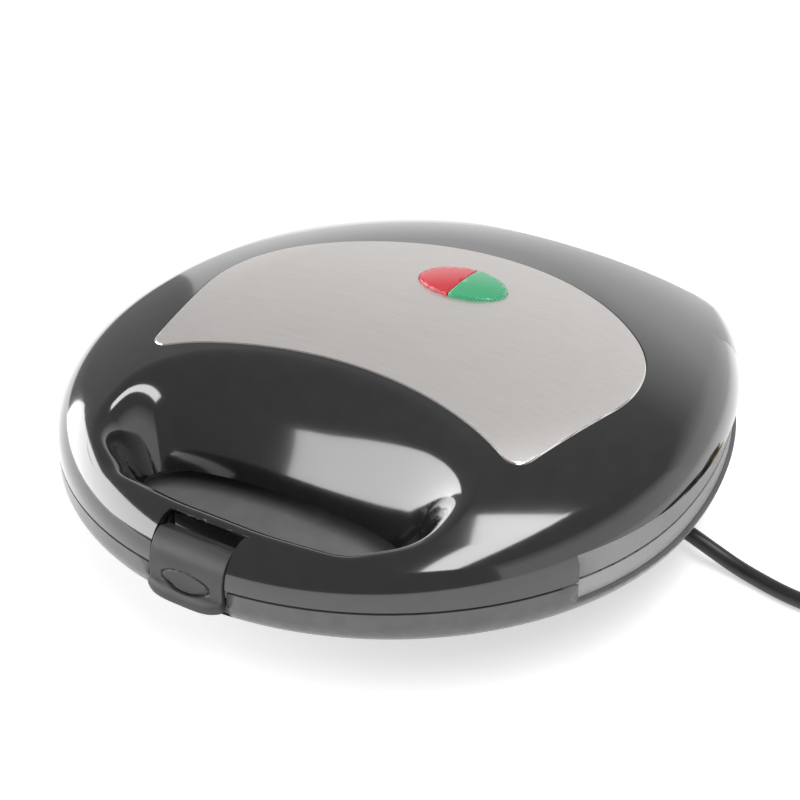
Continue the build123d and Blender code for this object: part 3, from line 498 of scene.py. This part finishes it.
# plan of the clamshell, for telling the recessed side bands from the skin around them
plan = {
    "radius": 114.0,
    "middleY": -1.0,
    "rearY": 118.0,
    "flankRadius": 186.2,
    "flankX": -72.2,
    "cornerRadius": 24.0,
    "cornerX": 59.3,
    "cornerY": 94.0,
}
bands = {
    "frontY": -52.2,
    "rearY": 98.0,
    "lidZ": (40.5, 49.7),
    "baseZ": (33.1, 39.5),
    "inset": (1.2, 3.2),
    "upright": 0.6,
}


def clamp(value):
    return max(0.0, min(1.0, value))


# how far a point lies inside the plan's outline, and the way straight out of it
def outlinePlace(spot):
    side = 1 if spot.x > 0 else -1
    across, along = abs(spot.x), spot.y
    if along < plan["middleY"]:
        centre, radius = (0.0, plan["middleY"]), plan["radius"]
    elif along > plan["cornerY"] and across > plan["cornerX"]:
        centre, radius = (plan["cornerX"], plan["cornerY"]), plan["cornerRadius"]
    else:
        centre, radius = (plan["flankX"], plan["middleY"]), plan["flankRadius"]
    away = Vector((across - centre[0], along - centre[1], 0))
    inset = radius - away.length
    if along > plan["cornerY"] and plan["rearY"] - along < inset:
        return plan["rearY"] - along, Vector((0, 1, 0))
    away.normalize()
    return inset, Vector((away.x * side, away.y, 0))


# outer skin of the lid: a flat crown arc, a rounder shoulder arc, and a rolled brow at the rim
dome = {
    "middleY": 15.0,
    "crownRadius": 850.0,
    "crownReach": 70.0,
    "shoulderRadius": 138.0,
    "browRadius": 17.0,
    "domeSteepest": 0.95,
    "browSteepest": 0.999,
    "lowZ": 40.5,
    "match": 0.9,
    "barY": -60.0,
    "barZ": 48.0,
    "barMatch": 0.75,
    "hoodY": 80.0,
    "hoodInset": 18.0,
    "underside": -0.9,
}


def skinNormal(spot):
    out = Vector((spot.x, spot.y - dome["middleY"], 0))
    reach = out.length
    tilt = min(reach, dome["crownReach"]) / dome["crownRadius"]
    tilt += max(0.0, reach - dome["crownReach"]) / dome["shoulderRadius"]
    slope = out.normalized() * min(tilt, dome["domeSteepest"])
    inset, outward = outlinePlace(spot)
    share = clamp(1 - inset / dome["browRadius"])
    lean = slope.dot(outward)
    if share > lean:
        slope += outward * (share - lean)
    flat = min(slope.length, dome["browSteepest"])
    slope = slope.normalized() * flat
    return Vector((slope.x, slope.y, (1 - flat * flat) ** 0.5))


# which faces of the lid belong to its outer skin
def onSkin(face, spot):
    if face.material_index or spot.z < dome["lowZ"]:
        return False
    if spot.y > dome["hoodY"] and outlinePlace(spot)[0] < dome["hoodInset"]:
        return False  # the hinge hood breaks the skin here
    onBar = spot.y < dome["barY"] and spot.z > dome["barZ"]  # the bar is rounder than its facets
    return face.normal.dot(skinNormal(spot)) >= (dome["barMatch"] if onBar else dome["match"])


def setSkinNormals(mesh):
    normals = [(0.0, 0.0, 0.0)] * len(mesh.loops)
    for face in mesh.polygons:
        if face.normal.z < dome["underside"]:  # the rim and the ledge over the bands stay flat
            for loop in face.loop_indices:
                normals[loop] = face.normal
        elif onSkin(face, face.center / mm):
            for loop in face.loop_indices:
                place = mesh.vertices[mesh.loops[loop].vertex_index].co / mm
                normals[loop] = skinNormal(place)
    mesh.normals_split_custom_set(normals)


def onBand(heights):
    def test(spot, normal):
        inside = bands["inset"][0] < outlinePlace(spot)[0] < bands["inset"][1]
        along = bands["frontY"] < spot.y < bands["rearY"] and abs(normal.z) < bands["upright"]
        return inside and along and heights[0] < spot.z < heights[1]

    return test


panelEdge = (0.3, 0.9)  # how far up the faces of the panel's bevel look


def onPanelEdge(spot, normal):
    return panelEdge[0] < normal.z < panelEdge[1]


# finger well: a smooth funnel from a narrow foot up over a rolled lip onto the dome
well = {
    "foot": {"halfWidth": 51.0, "front": -87.0, "rear": -55.0, "rearFull": 2.3, "frontFull": 2.2},
    "lip": {"halfWidth": 69.0, "front": -101.0, "rear": -24.5, "rearFull": 2.1, "frontFull": 2.6},
    "footZ": 35.0,
    "columns": 192,
    "rings": 32,
    "wall": 1.6,
    "footSpread": 0.7,
    "footClimb": 1.3,
    "lipRoll": 0.85,
    "lipLift": 0.3,
    "apron": {
        "width": 1.0,
        "front": 2.7,
        "frontY": -84.0,
        "fadeY": 10.0,
        "notch": 0.6,
        "notchX": 15.5,
        "clearX": 20.0,
        "above": 0.02,
    },
    "overlap": 0.4,
    "evenRounds": 8,
    "cutLow": 30.0,
    "cutHeight": 60.0,
    "castFrom": 200.0,
    "sharp": 60.0,
    "upward": 0.5,
}


# a full oval: an ellipse whose corners are filled out by its powers, one for each half
def ovalLoop(look, count):
    middle = (look["front"] + look["rear"]) / 2
    half = (look["rear"] - look["front"]) / 2
    loop = []
    for step in range(count):
        turn = 2 * pi * step / count
        power = 2 / (look["rearFull"] if sin(turn) > 0 else look["frontFull"])
        x = copysign(abs(cos(turn)) ** power, cos(turn)) * look["halfWidth"]
        y = copysign(abs(sin(turn)) ** power, sin(turn)) * half
        loop.append(Vector((x, middle + y, 0)))
    return loop


def smoothLoop(loop, rounds):
    for _ in range(rounds):
        count = len(loop)
        loop = [(loop[k - 1] + loop[k] * 2 + loop[(k + 1) % count]) / 4 for k in range(count)]
    return loop


# the apron runs out over the bar before the well, and draws in at the latch notch
def apronWidth(lip, look):
    width = look["width"] + look["front"] * clamp((look["frontY"] - lip.y) / look["fadeY"])
    if lip.y < look["frontY"]:
        share = clamp((abs(lip.x) - look["notchX"]) / (look["clearX"] - look["notchX"]))
        width = look["notch"] + (width - look["notch"]) * share
    return width


# the lip's loop moved outward by the apron's width, less a given overlap
def grownLoop(lipLoop, look, less):
    footLoop = ovalLoop(look["foot"], look["columns"])
    grown = []
    for foot, lip in zip(footLoop, lipLoop):
        grown.append(lip + (lip - foot).normalized() * (apronWidth(lip, look["apron"]) - less))
    return grown


def wellCutter(loop, look):
    shape = bmesh.new()
    low = [shape.verts.new((spot.x * mm, spot.y * mm, look["cutLow"] * mm)) for spot in loop]
    face = shape.faces.new(low)
    risen = bmesh.ops.extrude_face_region(shape, geom=[face])["geom"]
    verts = [item for item in risen if isinstance(item, bmesh.types.BMVert)]
    bmesh.ops.translate(shape, verts=verts, vec=(0, 0, look["cutHeight"] * mm))
    bmesh.ops.recalc_face_normals(shape, faces=shape.faces)
    mesh = bpy.data.meshes.new("wellCutter")
    shape.to_mesh(mesh)
    shape.free()
    return mesh


# one column of the funnel: a cubic curve that rises from the foot and runs out along the skin
def funnelColumn(look, start, end):
    normal = skinNormal(end)
    out = Vector((end.x - start.x, end.y - start.y, 0))
    run, rise = out.length, end.z - start.z
    out.normalize()
    along = (out - normal * out.dot(normal)).normalized()
    first = out * run * look["footSpread"] + Vector((0, 0, rise * look["footClimb"]))
    last = along * (run * look["lipRoll"] + rise * look["lipLift"])
    column = []
    for ring in range(look["rings"] + 1):
        t = ring / look["rings"]
        place = (
            start * (2 * t**3 - 3 * t**2 + 1)
            + first * (t**3 - 2 * t**2 + t)
            + end * (3 * t**2 - 2 * t**3)
            + last * (t**3 - t**2)
        )
        column.append(place)
    return column


# the outer ends of the columns take the skin's own normals
def setLipNormals(mesh, look):
    perColumn = look["rings"] + 2
    normals = [(0.0, 0.0, 0.0)] * len(mesh.loops)
    for face in mesh.polygons:
        for loop in face.loop_indices:
            index = mesh.loops[loop].vertex_index
            onLip = index < look["columns"] * perColumn and index % perColumn >= look["rings"]
            if onLip and face.normal.z > look["upward"]:
                normals[loop] = skinNormal(mesh.vertices[index].co / mm)
    mesh.normals_split_custom_set(normals)


def addFunnel(look, lipLoop):
    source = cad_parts["lid_shell"].data
    tree = BVHTree.FromPolygons([v.co for v in source.vertices], [p.vertices for p in source.polygons])
    down = Vector((0, 0, -1))

    def onDome(spot):
        return tree.ray_cast(Vector((spot.x, spot.y, look["castFrom"])) * mm, down)[0] / mm

    shape = bmesh.new()
    columns = []
    lips = smoothLoop([onDome(lip) for lip in lipLoop], look["evenRounds"])
    beyondLoop = grownLoop(lipLoop, look, 0.0)
    apronRise = Vector((0, 0, look["apron"]["above"]))
    for foot, end, beyond in zip(ovalLoop(look["foot"], look["columns"]), lips, beyondLoop):
        places = funnelColumn(look, Vector((foot.x, foot.y, look["footZ"])), end)
        places.append(onDome(beyond) + apronRise)  # the apron lies on the dome and hides the join
        columns.append([shape.verts.new(place * mm) for place in places])
    for here, there in zip(columns, columns[1:] + columns[:1]):
        for ring in range(len(here) - 1):
            shape.faces.new((here[ring], here[ring + 1], there[ring + 1], there[ring]))
    bmesh.ops.recalc_face_normals(shape, faces=shape.faces)
    tallest = max(shape.faces, key=lambda face: face.calc_center_median().z)
    if tallest.normal.z < 0:
        bmesh.ops.reverse_faces(shape, faces=shape.faces)
    bmesh.ops.solidify(shape, geom=shape.faces[:], thickness=look["wall"] * mm)
    mesh = bpy.data.meshes.new("wellFunnel")
    shape.to_mesh(mesh)
    shape.free()
    mesh.materials.append(lidGloss)
    mesh.shade_smooth()
    mesh.set_sharp_from_angle(angle=radians(look["sharp"]))
    setLipNormals(mesh, look)
    funnel = bpy.data.objects.new("wellFunnel", mesh)
    scene.collection.objects.link(funnel)
    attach(funnel, "lid")


lipLoop = ovalLoop(well["lip"], well["columns"])
addFunnel(well, lipLoop)
print("finger well made")

# latch lip: its lower corners are drawn up into a curve
latchLip = {
    "topZ": 36.5,
    "halfWidth": 14.0,
    "fade": 5.0,
    "rise": 1.2,
    "risePower": 3,
    "tuck": 2.0,
    "tuckPower": 5,
    "slices": 20,
}


def curveLip(shape):
    half = latchLip["halfWidth"] * mm
    for step in range(1, latchLip["slices"]):
        place = Vector((-half + 2 * half * step / latchLip["slices"], 0, 0))
        parts = shape.verts[:] + shape.edges[:] + shape.faces[:]
        bmesh.ops.bisect_plane(shape, geom=parts, plane_co=place, plane_no=(1, 0, 0))
    for vert in shape.verts:
        depth = clamp((latchLip["topZ"] - vert.co.z / mm) / latchLip["fade"]) * mm
        side = abs(vert.co.x) / half
        vert.co.z += latchLip["rise"] * depth * side ** latchLip["risePower"]
        vert.co.y += latchLip["tuck"] * depth * side ** latchLip["tuckPower"]


finishNode(
    {
        "node": "lid_shell",
        "body": "lid",
        "slot": "lid_gloss",
        "materials": (lidGloss, bandMatte),
        "second": onBand(bands["lidZ"]),
        "cutter": wellCutter(grownLoop(lipLoop, well, well["overlap"]), well),
        "normals": setSkinNormals,
    }
)
finishNode(
    {
        "node": "base_pan",
        "body": "base",
        "slot": "base_gloss",
        "materials": (baseGloss, bandMatte),
        "second": onBand(bands["baseZ"]),
    }
)
finishNode(
    {
        "node": "latch_clip",
        "body": "latch",
        "slot": "latch_satin",
        "materials": (latchSatin,),
        "reshape": curveLip,
    }
)
finishNode(
    {
        "node": "steel_panel",
        "body": "lid",
        "slot": "panel_steel",
        "materials": (panelSteel, edgeSteel),
        "second": onPanelEdge,
        "sharp": 20.0,
    }
)
for nodeName, bodyName, slotName, material in (
    ("base_deck", "base", "deck_satin", deckSatin),
    ("lid_liner", "lid", "deck_satin", deckSatin),
    ("red_lens", "lid", "lens_red", lensRed),
    ("green_lens", "lid", "lens_green", lensGreen),
    ("upper_plate", "lid", "nonstick", nonStick),
    ("lower_plate", "base", "nonstick", nonStick),
    ("upper_element", "lid", "element_sheath", elementSheath),
    ("lower_element", "base", "element_sheath", elementSheath),
    ("rubber_feet", "base", "foot_rubber", footRubber),
    ("cord_boot", "base", "foot_rubber", footRubber),
    ("hinge_pins", "base", "pin_steel", pinSteel),
    ("inner_lead", "base", "cord_jacket", cordJacket),
    ("neon_lamps", "lid", "lamp_glass", lampGlass),
    ("lid_wiring", "lid", "loom_sleeve", loomSleeve),
    ("base_wiring", "base", "loom_sleeve", loomSleeve),
):
    finishNode({"node": nodeName, "body": bodyName, "slot": slotName, "materials": (material,)})

# nodes that keep their CAD mesh
for nodeName, material in (
    ("latch_pin", pinSteel),
    ("lid_screws", pinSteel),
    ("base_screws", pinSteel),
    ("upper_element_clips", pinSteel),
    ("lower_element_clips", pinSteel),
    ("lamp_holder", whitePlastic),
    ("terminal_block", whitePlastic),
    ("cord_clamp", whitePlastic),
    ("thermal_fuse", loomSleeve),
    ("thermostat", pinSteel),
    ("cord_tie", latchSatin),
    ("plug_blades", bladeBrass),
):
    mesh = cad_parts[nodeName].data
    mesh.materials.clear()
    mesh.materials.append(material)
plugBody = finishNode(
    {
        "node": "plug_body",
        "body": "base",
        "slot": "plug_black",
        "materials": (latchSatin,),
    }
)
print("CAD nodes finished")

# mains cord: out of the boot, down to the table, and into a tied bundle outside the view
cordLook = {
    "diameter": 5.5,
    "outletAngle": 17.0,
    "outletMiddle": (0.0, 4.0, 12.0),
    "outletReach": 83.0,
    "firstRun": 15.0,
    "table": ((110.5, 32.1, 6.0), (123.0, 30.2, 2.9), (146.0, 24.3, 3.0)),
    "bundleStart": (186.0, 27.5, 4.05),
    "bundleLead": 19.25,
    "heading": 8.0,
    "turnRadii": (33.0, 30.0, 27.0, 24.0, 27.0, 30.0, 36.0),
    "climbTurn": 3,
    "climb": 6.0,
    "pointsPerHalf": 7,
    "length": 0.77,
    "smoothness": 8,
    "roundness": 6,
}


def cordRoute(look):
    angle = radians(look["outletAngle"])
    outlet = Vector((cos(angle), sin(angle), 0))
    start = Vector(look["outletMiddle"]) + outlet * look["outletReach"]
    turn = radians(look["heading"])
    ahead = Vector((cos(turn), sin(turn), 0))
    across = Vector((-sin(turn), cos(turn), 0))
    here = Vector(look["bundleStart"])
    points = [start, start + outlet * look["firstRun"], *(Vector(spot) for spot in look["table"])]
    points += [here - ahead * look["bundleLead"], here]
    here = here + ahead * look["diameter"]
    count = look["pointsPerHalf"]
    swell = 1 / cos(pi / (2 * count))  # the spline cuts inside its points by this much
    for turnIndex, radius in enumerate(look["turnRadii"]):
        rise = look["climb"] if turnIndex == look["climbTurn"] else 0.0
        middle = here + across * radius
        for step in range(count):
            share = (step + 0.5) / count
            bend = pi * share
            spot = middle + (ahead * sin(bend) - across * cos(bend)) * radius * swell
            spot.z = here.z + rise * share
            points.append(spot)
        here = here + across * 2 * radius + Vector((0, 0, rise))
        ahead, across = -ahead, -across
    points += [here, here + ahead * look["diameter"]]
    return points


def addCord(look):
    points = cordRoute(look)
    curve = bpy.data.curves.new("mainsCord", "CURVE")
    curve.dimensions = "3D"
    spline = curve.splines.new("NURBS")
    spline.points.add(len(points) - 1)
    for target, spot in zip(spline.points, points):
        target.co = (*(spot * mm), 1)
    spline.order_u = 3
    spline.use_endpoint_u = True
    spline.resolution_u = look["smoothness"]
    curve.bevel_depth = look["diameter"] / 2 * mm
    curve.bevel_resolution = look["roundness"]
    curve.use_fill_caps = True
    curve.materials.append(cordJacket)
    cord = bpy.data.objects.new("mainsCord", curve)
    scene.collection.objects.link(cord)
    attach(cord, "base")
    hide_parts("cord_run", "cord_coil")


addCord(cordLook)
print("cord laid")

# studio: pale floor, white panels low down behind and to the right, a long lamp at the left, a strip above
studio = {
    "floorSize": 9.0,
    "floorTone": 0.9,
    "floorShine": 0.9,
    "floorGlow": 0.5,
    "skyLevel": 0.32,
    "panelFade": (1.2, 2.3),
    "panels": (
        {"name": "backPanel", "place": (0.25, 2.8, 1.2), "size": (7.5, 2.4), "level": 1.05},
        {"name": "rightPanel", "place": (2.6, 0.4, 1.2), "size": (4.0, 2.4), "level": 1.15},
    ),
    "lamps": (
        {
            "name": "topStrip",
            "place": (0.52, -0.25, 1.2),
            "size": (0.3, 1.5),
            "level": 8.0,
            "turn": (0, 17, 30),
        },
        {
            "name": "leftWall",
            "place": (-1.3, -1.05, 0.55),
            "size": (0.9, 2.7),
            "level": 5.3,
            "turn": (-16, -90, 0),
        },
    ),
}


def addFloor(look):
    shape = bmesh.new()
    bmesh.ops.create_grid(shape, x_segments=1, y_segments=1, size=look["floorSize"] / 2)
    mesh = bpy.data.meshes.new("floor")
    shape.to_mesh(mesh)
    shape.free()
    floor = bpy.data.objects.new("floor", mesh)
    scene.collection.objects.link(floor)
    material, nodes, links, shader = newMaterial("floorPale")
    shader.inputs["Base Color"].default_value = (look["floorTone"],) * 3 + (1,)
    shader.inputs["Roughness"].default_value = look["floorShine"]
    shader.inputs["Specular IOR Level"].default_value = 0.0
    shader.inputs["Emission Color"].default_value = (1, 1, 1, 1)
    # the glow shows and is mirrored, but throws no light on the object
    rays = nodes.new("ShaderNodeLightPath")
    seen = rays.outputs["Is Camera Ray"]
    for rayName in ("Is Glossy Ray", "Is Transmission Ray"):
        total = nodes.new("ShaderNodeMath")
        total.use_clamp = True
        links.new(seen, total.inputs[0])
        links.new(rays.outputs[rayName], total.inputs[1])
        seen = total.outputs["Value"]
    glow = remap(nodes, links, seen, 0.0, look["floorGlow"])
    links.new(glow, shader.inputs["Emission Strength"])
    mesh.materials.append(material)


def addPanel(look, fade, skyLevel):
    shape = bmesh.new()
    bmesh.ops.create_grid(shape, x_segments=1, y_segments=1, size=0.5)
    wide, high = look["size"]
    turn = (Vector((0, 0, look["place"][2])) - Vector(look["place"])).to_track_quat("Z", "Y")
    for vert in shape.verts:
        vert.co = turn @ Vector((vert.co.x * wide, vert.co.y * high, 0)) + Vector(look["place"])
    mesh = bpy.data.meshes.new(look["name"])
    shape.to_mesh(mesh)
    shape.free()
    panel = bpy.data.objects.new(look["name"], mesh)
    scene.collection.objects.link(panel)
    material, nodes, links, shader = newMaterial(look["name"])
    shader.inputs["Base Color"].default_value = (0, 0, 0, 1)
    shader.inputs["Specular IOR Level"].default_value = 0.0
    shader.inputs["Emission Color"].default_value = (1, 1, 1, 1)
    coords = nodes.new("ShaderNodeTexCoord")
    split = nodes.new("ShaderNodeSeparateXYZ")
    links.new(coords.outputs["Object"], split.inputs["Vector"])
    # the panel melts into the sky at its top
    glow = remap(nodes, links, split.outputs["Z"], look["level"], skyLevel)
    glow.node.inputs["From Min"].default_value, glow.node.inputs["From Max"].default_value = fade
    links.new(glow, shader.inputs["Emission Strength"])
    mesh.materials.append(material)


def addStudio(look):
    addFloor(look)
    world = bpy.data.worlds.new("studioWorld")
    world.use_nodes = True
    scene.world = world
    sky = world.node_tree.nodes["Background"]
    sky.inputs["Color"].default_value = (1, 1, 1, 1)
    sky.inputs["Strength"].default_value = look["skyLevel"]
    for panel in look["panels"]:
        addPanel(panel, look["panelFade"], look["skyLevel"])
    for lamp in look["lamps"]:
        data = bpy.data.lights.new(lamp["name"], "AREA")
        data.shape = "RECTANGLE"
        data.size, data.size_y = lamp["size"]
        data.energy = lamp["level"] * pi * data.size * data.size_y
        light = bpy.data.objects.new(lamp["name"], data)
        light.location = lamp["place"]
        light.rotation_mode = "YXZ"
        light.rotation_euler = [radians(angle) for angle in lamp["turn"]]
        scene.collection.objects.link(light)


addStudio(studio)
print("studio lit")
